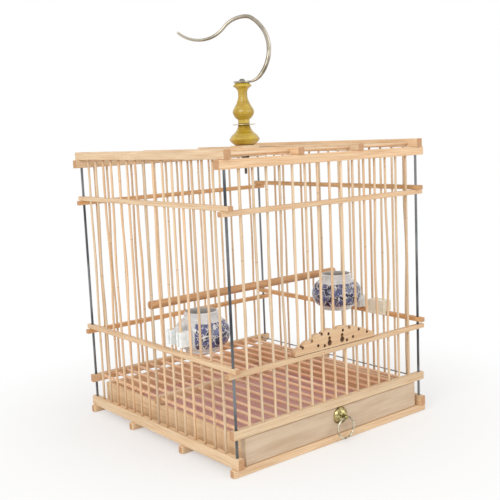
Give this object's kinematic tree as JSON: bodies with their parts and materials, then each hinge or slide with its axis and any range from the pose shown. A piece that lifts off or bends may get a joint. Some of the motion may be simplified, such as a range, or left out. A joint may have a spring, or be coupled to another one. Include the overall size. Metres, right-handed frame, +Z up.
{
  "type": "bird cage",
  "caption": "Square bamboo stick bird cage with lift-up carved door, pull-out tray drawer, perch, porcelain cups and a swivelling steel carrying hook.",
  "frame": {"origin": "on the ground under the middle of the four corner rods", "axes": "+X along the front to the right, +Y from the front to the back, +Z up"},
  "size_m": [0.319, 0.3331, 0.5144],
  "materials": {
    "bamboo": "plain sanded bamboo",
    "perch_wood": "darker orange-brown bamboo",
    "drawer_wood": "pale greyish tan board with streaks",
    "drawer_liner": "dusty pink painted board",
    "rod_steel": "drawn wire",
    "hook_steel": "polished with a warm tint",
    "brass": "dull brass",
    "yellow_lacquer": "glossy mustard lacquer on turned wood",
    "porcelain": "white glaze with a blue flower band",
    "white_plastic": "slightly translucent white",
    "ivory_plastic": "ivory"
  },
  "bodies": {
    "cage": {"base_bar_back": "bamboo", "base_bar_front": "bamboo", "base_bar_mid_front": "bamboo", "base_bar_mid_rear": "bamboo", "base_rail_left": "bamboo", "base_rail_right": "bamboo", "corner_rod_back_left": "rod_steel", "corner_rod_back_right": "rod_steel", "corner_rod_front_left": "rod_steel", "corner_rod_front_right": "rod_steel", "crown_board": "bamboo", "crown_nut": "rod_steel", "crown_pads": "bamboo", "cup_bracket_left": "white_plastic", "cup_bracket_right": "white_plastic", "finial_baluster": "yellow_lacquer", "finial_bell": "yellow_lacquer", "finial_disc": "brass", "floor_rail_back": "bamboo", "floor_rail_front": "bamboo", "floor_rail_middle": "bamboo", "floor_slats": "bamboo", "floor_wire": "rod_steel", "hook_bolt": "rod_steel", "lower_rail_back": "bamboo", "lower_rail_front": "bamboo", "lower_rail_left": "bamboo", "lower_rail_right": "bamboo", "perch": "perch_wood", "roof_bar_left": "bamboo", "roof_bar_right": "bamboo", "roof_sticks_back": "bamboo", "roof_sticks_front": "bamboo", "spare_holder": "ivory_plastic", "sticks_back": "bamboo", "sticks_below_door": "bamboo", "sticks_front_left": "bamboo", "sticks_front_right": "bamboo", "sticks_left": "bamboo", "sticks_right": "bamboo", "top_bar_back": "bamboo", "top_bar_front": "bamboo", "top_bar_left": "bamboo", "top_bar_right": "bamboo", "upper_rail_back": "bamboo", "upper_rail_front": "bamboo", "upper_rail_left": "bamboo", "upper_rail_right": "bamboo"},
    "drawer": {"drawer_front": "drawer_wood", "drawer_side_left": "drawer_wood", "drawer_side_right": "drawer_wood", "drawer_back": "drawer_wood", "drawer_bottom": "drawer_liner", "pull_boss": "brass"},
    "ring": {"pull_ring": "brass"},
    "door": {"door_plate": "bamboo", "door_sticks": "bamboo"},
    "hook": {"hook": "hook_steel"},
    "cup_left": {"cup_left": "porcelain"},
    "cup_right": {"cup_right": "porcelain"}
  },
  "joints": [
    {"name": "drawer_slide", "type": "slide", "parent": "cage", "child": "drawer", "axis": [0, -1, 0], "range_m": [0, 0.25]},
    {"name": "ring_swing", "type": "hinge", "parent": "drawer", "child": "ring", "pos_m": [0.004, -0.1668, 0.0304], "axis": [-1, 0, 0], "range_deg": [-8, 150]},
    {"name": "door_lift", "type": "slide", "parent": "cage", "child": "door", "axis": [0, 0, 1], "range_m": [0, 0.14]},
    {"name": "hook_swivel", "type": "hinge", "parent": "cage", "child": "hook", "pos_m": [0.0025, 0, 0.4311], "axis": [0, 0, 1], "continuous": true},
    {"name": "cup_left_lift", "type": "slide", "parent": "cage", "child": "cup_left", "axis": [0, 0, 1], "range_m": [0, 0.05]},
    {"name": "cup_right_lift", "type": "slide", "parent": "cage", "child": "cup_right", "axis": [0, 0, 1], "range_m": [0, 0.05]}
  ]
}
